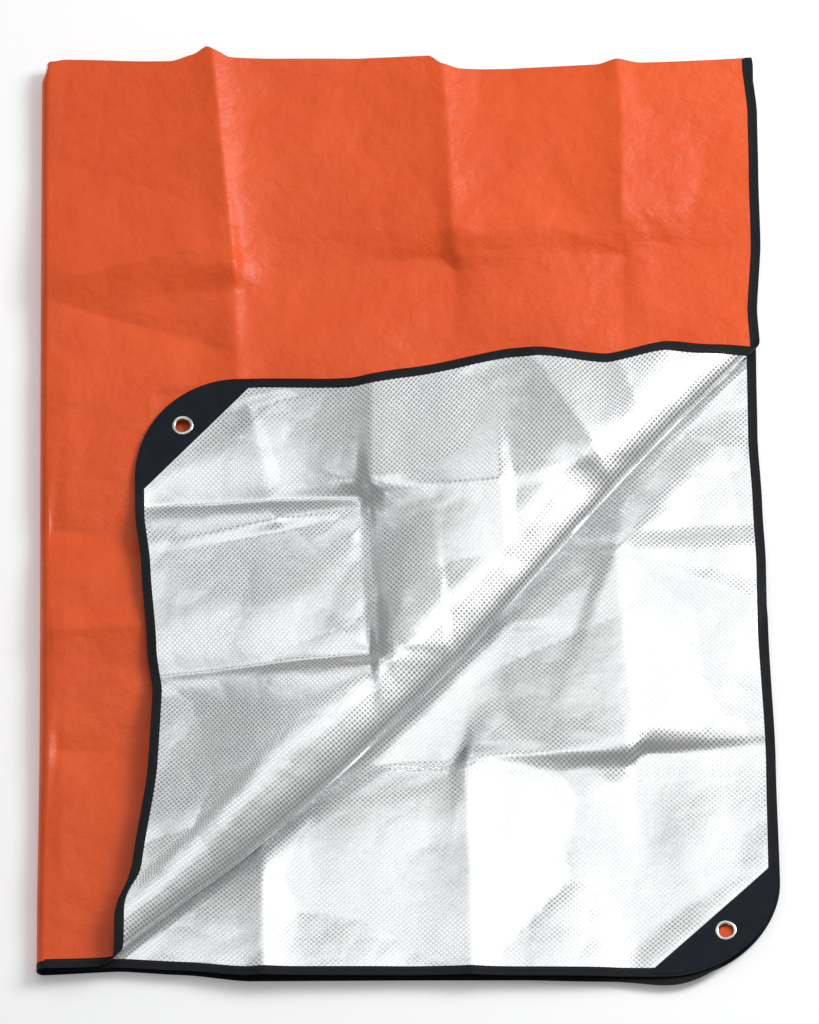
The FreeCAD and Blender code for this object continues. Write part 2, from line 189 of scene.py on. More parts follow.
def add_creases(z, p, creases):
    """Rows of from (u, v), to (u, v), height in mm and reach, then taper, other and narrow if needed."""
    for start, end, high, reach, *more in creases:
        z += crease(p, at(*start), at(*end), high * MM, reach, *more)


def add_puckers(z, p, crossings, high, count):
    """Rows of u, v, size and seed."""
    for u, v, size, seed in crossings:
        z += pucker(p, at(u, v), size, high, count, seed)


CREASES_D = (
    ((0.225, -0.03), (0.262, 0.24), 16, 0.014, 0.12, 0.030),
    ((0.262, 0.22), (0.272, 0.55), 6.4, 0.022),
    ((0.555, -0.03), (0.565, 0.22), 10.9, 0.020, 0.12, 0.045),
    ((0.565, 0.20), (0.575, 0.45), -7.2, 0.030),
    ((0.806, -0.03), (0.800, 0.20), 10, 0.028),
    ((0.800, 0.18), (0.810, 0.42), -6.4, 0.022),
    ((0.00, 0.246), (0.225, 0.206), 7, 0.028, 0.35, 0.014),
    ((0.02, 0.268), (0.255, 0.320), -6.4, 0.020, 0.35),
    ((0.26, 0.230), (0.56, 0.216), -7.2, 0.035),
    ((0.57, 0.200), (0.70, 0.178), 5.0, 0.026, 0.4),
    ((0.69, 0.180), (0.86, 0.224), 4.5, 0.018, 0.4),
    ((0.84, 0.222), (1.01, 0.211), -5.0, 0.030, 0.4),
    ((0.00, 0.516), (0.14, 0.528), -6.4, 0.020),
    ((0.00, 0.629), (0.15, 0.622), 5.5, 0.018),
    ((0.01, 0.758), (0.14, 0.765), -4.5, 0.022),
    ((0.03, 0.34), (0.02, 0.95), 3.6, 0.030),
)
CROSSINGS_D = ((0.262, 0.23, 0.08, 1), (0.567, 0.205, 0.06, 2), (0.803, 0.19, 0.06, 3))


def relief_d(p):
    """Quarter d, orange side up. Its creases show where the flap leaves it bare."""
    z = 2.0 * MM * swell(p, 0.30, 11)
    add_creases(z, p, CREASES_D)
    add_puckers(z, p, CROSSINGS_D, 0.9 * MM, 6)
    return z + 4.2 * MM * facets(p, 0.130, 21) + 1.2 * MM * facets(p, 0.050, 22) + 1.5 * MM


CREASES_FLAP = (
    ((0.455, 0.33), (0.450, 0.487), 8, 0.050, 0.12, 0.030, 0.2),
    ((0.450, 0.48), (0.462, 0.67), -6, 0.026),
    ((0.660, 0.31), (0.785, 0.475), 8, 0.045, 0.12, 0.030, 0.25),
    ((0.13, 0.492), (0.455, 0.486), -7.5, 0.030, 0.12, 0.010),
    ((0.445, 0.487), (0.640, 0.478), 5.2, 0.022),
    ((0.13, 0.682), (0.465, 0.664), -7.5, 0.030, 0.12, 0.012),
    ((0.455, 0.664), (0.560, 0.658), 4.5, 0.018),
    ((0.28, 0.38), (0.32, 0.52), 3.8, 0.030),
    ((0.785, 0.32), (0.84, 0.44), 4.5, 0.030),
)
CROSSINGS_FLAP = ((0.452, 0.488, 0.08, 7), (0.462, 0.664, 0.08, 8), (0.78, 0.472, 0.06, 9))


def relief_flap(p):
    """The turned-back corner, silver side up, in plan."""
    z = 2.4 * MM * swell(p, 0.26, 31)
    add_creases(z, p, CREASES_FLAP)
    add_puckers(z, p, CROSSINGS_FLAP, 1.1 * MM, 7)
    return 1.3 * z + 2.8 * MM * facets(p, 0.110, 41) + 0.4 * MM * facets(p, 0.030, 42) + 3 * MM


def off_patch(quarter, p):
    """The stiffer cloth under a corner patch creases less."""
    leg = RIGHT[quarter] - p[:, 0] + p[:, 1] - BOTTOM
    return 0.25 + 0.75 * ease((leg - PATCH_LEG) / 0.05)


CREASES_C = (
    ((0.300, 0.80), (0.303, 1.02), 6.8, 0.020),
    ((0.583, 0.62), (0.580, 0.77), -6, 0.024),
    ((0.580, 0.76), (0.590, 1.02), 6.8, 0.022, 0.12, 0.034),
    ((0.830, 0.40), (0.797, 0.54), 6, 0.024),
    ((0.797, 0.53), (0.818, 0.76), 9, 0.080, 0.12, 0.030),
    ((0.818, 0.75), (0.830, 1.02), -6, 0.024),
    ((0.36, 0.770), (0.58, 0.765), -6, 0.024, 0.12, 0.014),
    ((0.57, 0.765), (0.82, 0.757), 6.8, 0.022, 0.12, 0.012),
    ((0.81, 0.757), (1.02, 0.752), -5.2, 0.024),
    ((0.795, 0.538), (1.00, 0.594), 6, 0.020, 0.12, 0.030),
)
CROSSINGS_C = ((0.579, 0.765, 0.08, 12), (0.798, 0.537, 0.07, 13), (0.818, 0.757, 0.08, 14))


def relief_c(p):
    """Quarter c, silver side up. It shows where the corner is turned back."""
    z = 2.2 * MM * swell(p, 0.27, 51)
    add_creases(z, p, CREASES_C)
    add_puckers(z, p, CROSSINGS_C, 1.1 * MM, 7)
    return 1.3 * z + 2.8 * MM * facets(p, 0.110, 61) + 0.4 * MM * facets(p, 0.030, 62) + 1 * MM


def roll_section():
    """The roll's section for a radius of 1: (cloth used, across, height), round below and long above."""
    low = np.linspace(0, math.pi / 2, 20)
    high = np.linspace(0, math.pi / 2, 40)[1:]
    across = np.concatenate([1 - np.sin(low), ROLL_LONG * (1 - np.cos(high))])
    height = np.concatenate([1 - np.cos(low), 1 + np.sin(high)])
    used = np.concatenate([[0], np.cumsum(np.hypot(np.diff(across), np.diff(height)))])
    return used, across, height


ROLL_LONG = 2.8  # how much longer than high the roll's upper side is
SECTION = roll_section()
ROLL_CLOTH = SECTION[0][-1]  # the cloth used by the whole roll, for a radius of 1
ROLL_LOW_CLOTH = math.pi / 2  # the cloth used up to the roll's outermost line
ROLL_THIN, ROLL_MORE = 10, 10  # the roll's least radius, and what its middle has above it, in mm


def roll_radius(tau):
    """The roll is fullest in its middle and narrower at the open edges."""
    share = np.clip(tau / ROLL_RUN, -0.05, 1.05)
    return (ROLL_THIN + ROLL_MORE * ease(share * 2.6) * ease((1 - share) * 2.6)) * MM


def roll_shift(tau):
    """How far the roll lies back from its straight line, on the flap's side."""
    share = np.clip(tau / ROLL_RUN, 0, 1)
    return (10 * share**2 - 24 * np.sin(np.pi * share**0.8) ** 2 * (1 - 0.55 * share)) * MM


def flat_cover(p):
    """1 where the flap lies over quarter d, 0 where d is bare."""
    return ease((p[:, 0] - at(0.14, 0)[0]) / 0.02) * ease((at(0, 0.355)[1] - p[:, 1]) / 0.02)


def along_edge(distance, stops):
    """A smooth offset along an edge, in metres, from (distance, offset) pairs in millimetres."""
    where, offset = np.array(stops, float).T * MM
    x = np.clip(distance, where[0], where[-1])
    k = np.clip(np.searchsorted(where, x) - 1, 0, len(where) - 2)
    linear = (x - where[k]) / (where[k + 1] - where[k])
    share = (ease(linear) + linear) / 2
    return offset[k] * (1 - share) + offset[k + 1] * share


# How far the turned-back corner's two open edges drift, as (distance, offset) in mm.
FLAP_TOP = ((0, 0), (138, -5), (238, -14), (301, -8), (411, 6), (448, 5), (525, -9), (590, 4), (660, 0))
FLAP_SIDE = ((0, 0), (154, 3), (212, 10), (306, 18), (353, 25), (446, 24), (560, 15), (610, 6), (660, 0))
EDGE_PULL = 0.14  # how far in from its edges the flap follows them


def surface_d(p):
    """Quarter d from its flat cut to its folded place: flat, then round the roll, then back as the flap."""
    rel = p - ROLL_AT[:2]
    tau, sigma = rel @ ALONG, rel @ BACK
    radius = roll_radius(tau)
    gone = radius - sigma  # cloth used since the roll began
    turn = np.clip(gone / radius, 0, ROLL_CLOTH)
    beyond = np.maximum(gone - ROLL_CLOTH * radius, 0)
    rolled = radius * np.interp(turn, SECTION[0], SECTION[1])
    across = np.where(gone > 0, rolled + 0.991 * beyond, sigma)
    across = across + roll_shift(tau) * np.exp(-(np.maximum(across, 0) / 0.30) ** 2)
    slide = tau + 0.092 * beyond
    plan = ROLL_AT[:2] + np.outer(slide, ALONG) + np.outer(across, BACK)
    plan[:, 1] += 22 * MM * ease(tau / ROLL_RUN * 2 - 0.9) * (1 - ease((sigma - radius) / 0.28))
    from_right, from_low = RIGHT["d"] - p[:, 0], p[:, 1] - BOTTOM
    pulled = ease(beyond / 0.03)
    plan[:, 1] += pulled * along_edge(from_low, FLAP_TOP) * np.exp(-((from_right / EDGE_PULL) ** 2))
    plan[:, 0] += pulled * along_edge(from_right, FLAP_SIDE) * np.exp(-((from_low / EDGE_PULL) ** 2))
    ground = shallow(relief_d(plan), height=30 * MM) * (1 - 0.88 * flat_cover(plan))
    ground = ground * ease((sigma - radius) / 0.04)
    reach = np.clip(beyond / 0.42, 0, 1)
    full, rest = 2 * radius, 2 * MM
    drop = full + (rest - full) * (1.35 * reach - 0.35 * reach**2) * ease(reach * 4) ** 0.5
    lift = np.where(beyond > 0, drop, radius * np.interp(turn, SECTION[0], SECTION[2]))
    lift = np.where(gone > 0, lift, 0)
    waves = off_patch("d", p) * shallow(relief_flap(plan), 3 * MM + 0.5 * lift, 14 * MM)
    waves = waves * ease((turn - 1.2) / 3.5)
    z = LEVEL["d"] + np.where(gone > 0, 0, 1) * ground + lift + waves
    return wander(np.column_stack([plan, z]), "d")


def surface_c(p):
    """Quarter c, which is pressed nearly flat where quarter d lies on it."""
    bare = ease((-((p - ROLL_AT[:2]) @ BACK) + 0.01) / 0.05)
    relief = off_patch("c", p) * shallow(relief_c(p)) * (0.12 + 0.88 * bare)
    z = LEVEL["c"] + relief * ease((TOP - p[:, 1]) / 0.05)
    return wander(np.column_stack([p, z]), "c")


def surface_b(p):
    """Quarter b, nearly flat, with its free corner raised a little."""
    near_corner = np.exp(-(np.hypot(RIGHT["b"] - p[:, 0], p[:, 1] - BOTTOM) / 0.12) ** 2)
    z = LEVEL["b"] + (0.9 * swell(p, 0.30, 71) * ease((TOP - p[:, 1]) / 0.05) + 2.5 * near_corner) * MM
    return wander(np.column_stack([p, z]), "b")


def surface_a(p):
    """Quarter a, flat on the floor."""
    return wander(np.column_stack([p, np.full(len(p), LEVEL["a"])]), "a")


# How far the edges drift, as (distance, offset) in mm: outwards down the right side from the top, upwards
# along the bottom from the left, and outwards along the top from the left.
RIGHT_OUT = {
    "d": ((0, 0), (60, 7), (130, 9), (215, 12), (290, 8.5), (335, 11.5), (1070, 12)),
    "c": (
        (0, -6), (350, -4.4), (440, -3.4), (518, 1), (590, 4.5), (650, 5.2), (810, 13.5), (965, 15.5),
        (1070, 14),
    ),
    "b": ((0, -18), (880, -16), (1000, -9.5), (1070, -9.5)),
    "a": ((0, -12), (500, -10), (600, 0), (650, 3), (810, 10), (965, 14), (1070, 11)),
}
BOTTOM_UP = ((0, 6), (78, 10), (145, 6), (210, -1), (400, 0), (770, 0))
BOTTOM_UP_B = (*BOTTOM_UP[:-1], (600, -4), (680, -11), (770, -11))
TOP_OUT = (
    (0, 0), (15, 1), (129, -3.5), (152, 3), (166, 11.5), (176, 7), (190, 1), (402, 3.5), (415, -6),
    (434, -10.5), (581, -7), (600, -2), (623, -6), (737, -1), (770, 0),
)
TOP_REACH = 0.10


def wander(points, quarter):
    """The open edges are never quite straight: they drift outwards and inwards along their run."""
    right = np.clip((points[:, 0] - LEFT["d"]) / WIDE, 0, 1.1)
    down = np.clip((TOP - points[:, 1]) / LONG, 0, 1.1)
    out = points.copy()
    out[:, 0] += right**1.5 * along_edge(TOP - points[:, 1], RIGHT_OUT[quarter])
    from_left = points[:, 0] - LEFT["d"]
    bottom_up = BOTTOM_UP_B if quarter == "b" else BOTTOM_UP
    out[:, 1] += ease(down * 3 - 2) * along_edge(from_left, bottom_up)
    top_out = along_edge(from_left, TOP_OUT)
    if quarter in "ab":
        top_out = np.minimum(top_out, 0) - 3 * MM
    out[:, 1] += ease(1 - (TOP - points[:, 1]) / TOP_REACH) * top_out
    return out


SURFACE = {"a": surface_a, "b": surface_b, "c": surface_c, "d": surface_d}


def smooth_at_eyelet(quarter, plan):
    """The quarter's surface, made flat round its eyelet."""
    surface = SURFACE[quarter]
    centre = eyelet_centre(quarter)
    x_step, y_step = np.array([EYELET_FLAT, 0]), np.array([0, EYELET_FLAT])
    around = surface(np.array([centre, centre + x_step, centre - x_step, centre + y_step, centre - y_step]))
    x_way = (around[1] - around[2]) / (2 * EYELET_FLAT)
    y_way = (around[3] - around[4]) / (2 * EYELET_FLAT)
    rel = plan - centre
    flat = around.mean(0) + np.outer(rel[:, 0], x_way) + np.outer(rel[:, 1], y_way)
    share = ease((np.hypot(*rel.T) - 12 * MM) / (22 * MM))[:, None]
    return flat * (1 - share) + surface(plan) * share


def carry(quarter, plan, rise=0.0):
    """Flat places to folded ones, lifted by rise towards the silver side, and the normal that way."""
    here = smooth_at_eyelet(quarter, plan)
    ahead = smooth_at_eyelet(quarter, plan + (NORMAL_STEP, 0))
    side = smooth_at_eyelet(quarter, plan + (0, NORMAL_STEP))
    normal = np.cross(ahead - here, side - here)
    normal /= np.linalg.norm(normal, axis=1)[:, None]
    if not SILVER_UP[quarter]:
        normal = -normal
    return here + normal * np.reshape(rise, (-1, 1)), normal


# Outlines in plan.
def corner_centre(quarter):
    """The middle of the rounded corner's arc."""
    return np.array([RIGHT[quarter] - CORNER, BOTTOM + CORNER])


def corner_arc(quarter, inset, count=26):
    """The rounded free corner, from the bottom edge to the right edge."""
    radius = CORNER - inset
    turns = np.linspace(-math.pi / 2, 0, count)
    return corner_centre(quarter) + radius * np.column_stack([np.cos(turns), np.sin(turns)])


def between(a, b, spacing=GRID):
    """Evenly spaced places on a line, without its last."""
    a, b = np.asarray(a, float), np.asarray(b, float)
    count = max(1, round(np.hypot(*(b - a)) / spacing))
    return a + np.outer(np.arange(count) / count, b - a)


def edge_line(quarter, inset):
    """The open edges at an inset: along the bottom, round the corner and up the right side."""
    left, right = LEFT[quarter], RIGHT[quarter]
    arc = corner_arc(quarter, inset)
    low = between((left, BOTTOM + inset), arc[0])
    high = between(arc[-1], (right - inset, TOP))
    return np.vstack([low, arc[:-1], high, [(right - inset, TOP)]])


def eyelet_centre(quarter):
    """The eyelet's place in plan."""
    return np.array([RIGHT[quarter] - EYELET_IN, BOTTOM + EYELET_IN])


def triangulate(loops, lines, inner):
    """Delaunay triangles through closed loops, open lines and scattered places."""
    places, edges = [], []
    for chain, closed in [(c, True) for c in loops] + [(c, False) for c in lines]:
        first, count = len(places), len(chain)
        places += [tuple(p) for p in chain]
        edges += [(first + i, first + i + 1) for i in range(count - 1)]
        if closed:
            edges.append((first + count - 1, first))
    places += [tuple(p) for p in inner]
    out = delaunay_2d_cdt([Vector(p) for p in places], edges, [], 0, 1e-7)
    return np.array([tuple(v) for v in out[0]]), np.array([tuple(f) for f in out[2] if len(f) == 3])


def inside_quarter(quarter, p, inset):
    """True inside the quarter's outline at an inset."""
    left, right = LEFT[quarter], RIGHT[quarter] - inset
    low = BOTTOM + inset
    ok = (p[:, 0] >= left) & (p[:, 0] <= right) & (p[:, 1] >= low) & (p[:, 1] <= TOP)
    rel = p - corner_centre(quarter)
    cut = (rel[:, 0] > 0) & (rel[:, 1] < 0) & (np.hypot(*rel.T) > CORNER - inset)
    return ok & ~cut


def make_mesh(name, points, faces, normals=None, uv=None):
    """A smooth mesh object; uv is each place's position on the flat cloth."""
    mesh = bpy.data.meshes.new(name)
    mesh.from_pydata([tuple(p) for p in points], [], [tuple(int(i) for i in f) for f in faces])
    mesh.polygons.foreach_set("use_smooth", [True] * len(mesh.polygons))
    if uv is not None:
        layer = mesh.uv_layers.new(name="flat")
        index = np.zeros(len(mesh.loops), np.int32)
        mesh.loops.foreach_get("vertex_index", index)
        layer.data.foreach_set("uv", np.asarray(uv, np.float32)[index].ravel())
    mesh.update()
    if normals is not None:
        mesh.normals_split_custom_set_from_vertices([tuple(n) for n in normals])
    made = bpy.data.objects.new(name, mesh)
    bpy.context.scene.collection.objects.link(made)
    return made


def compact(faces):
    """The places that the faces use, and the faces counted over those alone."""
    used, faces = np.unique(faces, return_inverse=True)
    return used, faces.reshape(-1, 3)


# Pieces of cloth. A part is what moves as one: a quarter's flat cloth, one side of the roll, or the flap.
def part_name(quarter, part):
    """What a part's pieces are named after."""
    return quarter if part == "flat" else part


def dress(made, material, stands_for):
    """The piece's material and the CAD nodes that it stands for."""
    made.data.materials.append(material)
    if stands_for:
        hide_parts(*stands_for)


def settle(made, quarter, part, soft=True):
    """A piece rides on its body: the roll's lower side on quarter d, its upper side on the flap's."""
    if part == "flat":
        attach(made, BODY[quarter])
    elif part == "roll_lower":
        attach(made, "quarter_d")
    else:
        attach(made, "corner_flap")
    if soft:
        flatten(made, quarter, part)


def flatten(made, quarter, part):
    """Gives each piece of quarters c and d its own copy of its mesh."""
    if part in ("flap", "roll_upper"):
        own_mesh(made)
    elif quarter in "cd":
        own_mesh(made)


def roll_cuts():
    """In plan, where the cloth enters the roll, where the upper side begins and where it leaves."""
    tau = np.linspace(-0.03, ROLL_RUN + 0.03, 260)
    radius = roll_radius(tau)
    lines = []
    for sigma in (radius, radius * (1 - ROLL_LOW_CLOTH), radius * (1 - ROLL_CLOTH)):
        lines.append(ROLL_AT[:2] + np.outer(tau, ALONG) + sigma[:, None] * BACK)
    return lines


def part_of(quarter, p):
    """The index in PARTS of each place."""
    if quarter != "d":
        return np.zeros(len(p), int)
    rel = p - ROLL_AT[:2]
    radius = roll_radius(rel @ ALONG)
    gone = radius - rel @ BACK
    return (gone > 0).astype(int) + (gone > ROLL_LOW_CLOTH * radius) + (gone > ROLL_CLOTH * radius)


PARTS = ("flat", "roll_lower", "roll_upper", "flap")


def parts_present(quarter, places):
    """Each part that has any of the places: its name in PARTS, its pieces' name, and which places."""
    which = part_of(quarter, places)
    for index, part in enumerate(PARTS):
        own = which == index
        if own.any():
            yield part, part_name(quarter, part), own


def ring(centre, radius, count=40):
    """Evenly spaced places round a circle in plan."""
    turns = np.linspace(0, 2 * math.pi, count, endpoint=False)
    return centre + radius * np.column_stack([np.cos(turns), np.sin(turns)])


def cut_cloth(quarter, inset, spacing, hole=None, region=None, extra=()):
    """Triangles in plan for the quarter's cloth inside an inset outline, without the eyelet's hole."""
    x = np.arange(LEFT[quarter] + spacing / 2, RIGHT[quarter] - inset, spacing)
    y = np.arange(BOTTOM + inset + spacing / 2, TOP, spacing * 0.88)
    grid = np.array([(i + (k % 2) * spacing / 2, j) for k, j in enumerate(y) for i in x])
    grid = grid[inside_quarter(quarter, grid, inset + 0.45 * spacing)]
    left = [(LEFT[quarter], BOTTOM + inset)]
    top = between((RIGHT[quarter] - inset, TOP), (LEFT[quarter], TOP), spacing)[1:]
    side = between((LEFT[quarter], TOP), (LEFT[quarter], BOTTOM + inset), spacing)
    outline = np.vstack([left, edge_line(quarter, inset)[1:], top, side])
    loops = [outline]
    centre = eyelet_centre(quarter)
    if hole:
        loops.append(ring(centre, hole))
        grid = grid[np.hypot(*(grid - centre).T) > hole + 0.4 * spacing]
    if region is not None:
        grid = grid[region(grid)]
    lines = list(extra) + (roll_cuts() if quarter == "d" else [])
    for line in lines:
        for k in range(0, len(line), 60):
            near = np.min(np.hypot(*(grid[:, None] - line[None, k:k + 60]).transpose(2, 0, 1)), axis=1)
            grid = grid[near > 0.3 * spacing]
    points, faces = triangulate(loops, lines, grid)
    middle = points[faces].mean(1)
    keep = inside_quarter(quarter, middle, inset * 0.999)
    if hole:
        keep &= np.hypot(*(middle - centre).T) > hole
    if region is not None:
        keep &= region(middle)
    return points, faces[keep]


def lay_sheet(name, quarter, part, points, faces, rise, material, stands_for):
    """One surface of a film, on its own side of the laminate."""
    used, own = compact(faces)
    plan = points[used]
    covered = edge_distance(quarter, plan) < TAPE_WIDE - 1 * MM
    if rise > 0:
        covered |= patch_region(quarter, plan, -4 * MM)
    placed, normal = carry(quarter, plan, np.where(covered, -0.4 * rise, rise))
    up = SILVER_UP[quarter] == (rise > 0)
    own = own if up else own[:, ::-1]
    made = make_mesh(name, placed, own, normal if rise > 0 else -normal, plan)
    settle(made, quarter, part)
    dress(made, material, stands_for)
    return made


def shell(quarter, points, faces, low, high):
    """A thin closed piece: the plan triangles at two rises, with walls round its outline."""
    used, own = compact(faces)
    plan = points[used]
    count = len(plan)
    up, normal = carry(quarter, plan, np.broadcast_to(high(plan) if callable(high) else high, count))
    down, _ = carry(quarter, plan, np.broadcast_to(low(plan) if callable(low) else low, count))
    flip = not SILVER_UP[quarter]
    top = own[:, ::-1] if flip else own
    edges = {}
    for face in top:
        for i in range(3):
            edges[(face[i], face[(i + 1) % 3])] = True
    rim = [(i, j) for i, j in edges if (j, i) not in edges]
    places = np.vstack([up, down, up, down])
    normals = np.vstack([normal, -normal, normal, -normal])
    out = {}
    for i, j in rim:
        side = np.cross(normal[i], up[j] - up[i])
        out[i] = out.get(i, 0) - side
        out[j] = out.get(j, 0) - side
    for i, side in out.items():
        side = side / (np.linalg.norm(side) + 1e-12)
        normals[2 * count + i] = normals[3 * count + i] = side
    walls = []
    for i, j in rim:
        walls.append((2 * count + j, 2 * count + i, 3 * count + i))
        walls.append((2 * count + j, 3 * count + i, 3 * count + j))
    every = np.vstack([top, top[:, ::-1] + count, np.array(walls)])
    keep, faces = np.unique(every, return_inverse=True)
    return places[keep], faces.reshape(-1, 3), normals[keep], np.vstack([plan] * 4)[keep]


def edge_distance(quarter, p):
    """How far inside the open edges a place is."""
    right, low = RIGHT[quarter] - p[:, 0], p[:, 1] - BOTTOM
    rel = p - corner_centre(quarter)
    round_part = CORNER - np.hypot(*rel.T)
    corner = (rel[:, 0] > 0) & (rel[:, 1] < 0)
    return np.where(corner, round_part, np.minimum(right, low))


FACES = (("orange", -FILM, ("orange_film",)), ("silver", FILM, ("silver_film", "scrim")))


def make_films(quarter, looks):
    """The orange and the silver face of each part, laid with their flat places as uv."""
    fine = COARSER[quarter] * GRID
    points, faces = cut_cloth(quarter, TAPE_WIDE - 2.5 * MM, fine, EYELET_HOLE)
    for part, name, mine in parts_present(quarter, points[faces].mean(1)):
        own = faces[mine]
        rolled = part.startswith("roll")
        for colour, rise, nodes in FACES:
            stands_for = ["roll_film"] if rolled else [f"{name}_{node}" for node in nodes]
            label = f"{name}_{colour}"
            made = lay_sheet(label, quarter, part, points, own, rise, looks[colour], stands_for)


def make_edge_tape(quarter, looks):
    """Cloth tape folded over the open edges and seen on both sides."""
    lines = [edge_line(quarter, d * MM) for d in (1.2, 5, 10)]

    def taped(p):
        return edge_distance(quarter, p) < TAPE_WIDE

    points, faces = cut_cloth(quarter, 0, 3.2 * MM, None, taped, lines)

    def rise(p):
        near = np.clip(edge_distance(quarter, p) / (1.2 * MM), 0, 1)
        return (0.12 + 0.40 * np.sqrt(near * (2 - near))) * MM

    def fall(p):
        return -rise(p)

    for part, name, mine in parts_present(quarter, points[faces].mean(1)):
        made = make_mesh(f"{name}_edge_tape", *shell(quarter, points, faces[mine], fall, rise))
        settle(made, quarter, part)
        dress(made, looks["tape"], ["roll_tape" if part.startswith("roll") else f"{name}_tape"])


def patch_region(quarter, p, slack=0.0):
    """True inside the three-cornered patch."""
    right, low = RIGHT[quarter] - p[:, 0], p[:, 1] - BOTTOM
    return right + low < PATCH_LEG + slack


def make_patch(quarter, looks):
    right = RIGHT[quarter]
    inset = 3 * MM
    long_edge = [between((right - PATCH_LEG + d, BOTTOM), (right, BOTTOM + PATCH_LEG - d), 4 * MM)
                 for d in (0, 1.5 * MM)]
    extra = [ring(eyelet_centre(quarter), FLANGE)]
    points, faces = cut_cloth(quarter, inset, 3 * MM, EYELET_HOLE, lambda p: patch_region(quarter, p),
                              long_edge + extra)

    def rise(p):
        near = (PATCH_LEG - (right - p[:, 0]) - (p[:, 1] - BOTTOM)) / (1.5 * MM)
        tape = ease((TAPE_WIDE + 1.5 * MM - edge_distance(quarter, p)) / (3 * MM))
        return (0.40 + 0.25 * np.clip(near, 0, 1) + 0.30 * tape) * MM

    part = "flap" if quarter == "d" else "flat"
    name = part_name(quarter, part)
    made = make_mesh(f"{name}_corner_patch", *shell(quarter, points, faces, 0.26 * MM, rise))
    settle(made, quarter, part)
    dress(made, looks["patch"], [f"{name}_patch"])


def stitches(quarter, line, rise, long=2.9 * MM, gap=0.9 * MM, wide=0.32 * MM, high=0.26 * MM):
    """Short thread bars along a line in plan."""
    steps = np.hypot(*np.diff(line, axis=0).T)
    length = np.concatenate([[0], np.cumsum(steps)])
    starts = np.arange(gap, length[-1] - long, long + gap)

    def at_length(run):
        return np.column_stack([np.interp(run, length, line[:, k]) for k in (0, 1)])

    first, last = at_length(starts), at_length(starts + long)
    centre = (first + last) / 2
    down = np.sign(rise) * high
    a, n = carry(quarter, first, np.full(len(first), rise))
    b, _ = carry(quarter, last, np.full(len(last), rise))
    m, _ = carry(quarter, centre, np.full(len(centre), rise + down))
    side = np.cross(b - a, n)
    side *= wide / np.linalg.norm(side, axis=1)[:, None]
    corners = np.stack([a, m - side, b, m + side, m + n * down[..., None] * 0.3], axis=1)
    tops = [(0, 1, 4), (1, 2, 4), (2, 3, 4), (3, 0, 4)]
    return centre, corners, tops


def make_stitches(quarter, looks):
    """Two rows, one on each side of the tape, and a row along the patch's long edge."""
    edge = edge_line(quarter, 7.5 * MM)
    rows = [stitches(quarter, edge, np.array(side * 0.50 * MM)) for side in (1, -1)]
    right = RIGHT[quarter]
    d = 6 * MM
    slant = between((right - PATCH_LEG + d + TAPE_WIDE, BOTTOM + TAPE_WIDE),
                    (right - TAPE_WIDE, BOTTOM + PATCH_LEG - d - TAPE_WIDE), 4 * MM)
    patch_rows = [stitches(quarter, slant, np.array(rise * MM)) for rise in (0.52, -0.24)]
    for group, label, node in ((rows, "stitches", "seam"), (patch_rows, "patch_stitches", "patch_seam")):
        centre = np.vstack([g[0] for g in group])
        corners = np.vstack([g[1] for g in group])
        for part, name, mine in parts_present(quarter, centre):
            own = corners[mine]
            faces = [tuple(5 * k + i for i in f) for k in range(len(own)) for f in group[0][2]]
            made = make_mesh(f"{name}_{label}", own.reshape(-1, 3), faces)
            settle(made, quarter, part)
            dress(made, looks["thread"], [] if part.startswith("roll") else [f"{name}_{node}"])


def revolve(profile, centre, x_way, y_way, normal, count=72):
    """A ring from a closed half-section of (radius, height) places."""
    section = np.array(profile)
    turns = np.linspace(0, 2 * math.pi, count, endpoint=False)
    places, faces = [], []
    size = len(section)
    for turn in turns:
        spoke = x_way * math.cos(turn) + y_way * math.sin(turn)
        places += [centre + spoke * r + normal * z for r, z in section]
    for k in range(count):
        for i in range(size):
            j, n = (i + 1) % size, (k + 1) % count
            faces.append((k * size + i, n * size + i, n * size + j))
            faces.append((k * size + i, n * size + j, k * size + j))
    return np.array(places), faces


def eyelet_section():
    """The eyelet's rounded flange on the silver side and its barrel through the cloth."""
    crown = [(BORE + 0.3 * MM + (FLANGE - BORE - 0.3 * MM) * (1 - math.cos(t)) / 2,
              0.55 * MM + 0.95 * MM * math.sin(t) ** 0.7) for t in np.linspace(0.12, math.pi - 0.02, 15)]
    return [(BORE, -0.75 * MM), (BORE, 0.55 * MM), *crown, (FLANGE, 0.45 * MM), (BORE + 0.6 * MM, 0.45 * MM),
            (BORE + 0.6 * MM, -0.75 * MM)]


def washer_section():
    """The washer's rounded back on the orange side."""
    crown = [(BORE + 0.7 * MM + (FLANGE - BORE - 0.7 * MM) * (1 - math.cos(t)) / 2,
              -0.35 * MM - 0.6 * MM * math.sin(t)) for t in np.linspace(0.05, math.pi - 0.05, 11)]
    return [(BORE + 0.7 * MM, -0.28 * MM)] + crown + [(FLANGE, -0.28 * MM)]


def make_eyelet(quarter, looks):
    """The corner's eyelet and its washer, upright on the cloth."""
    part = "flap" if quarter == "d" else "flat"
    name = part_name(quarter, part)
    plan = eyelet_centre(quarter)[None]
    centre, normal = carry(quarter, plan)
    ahead, _ = carry(quarter, plan + (MM, 0))
    x_way = (ahead - centre)[0]
    x_way /= np.linalg.norm(x_way)
    y_way = np.cross(normal[0], x_way)
    pieces = (("eyelet", "grommet", eyelet_section()), ("eyelet_washer", "washer", washer_section()))
    for label, node, section in pieces:
        places, faces = revolve(section, centre[0], x_way, y_way, normal[0])
        made = make_mesh(f"{name}_{label}", places, faces)
        settle(made, quarter, part, soft=False)
        dress(made, looks["nickel"], [f"{name}_{node}"])


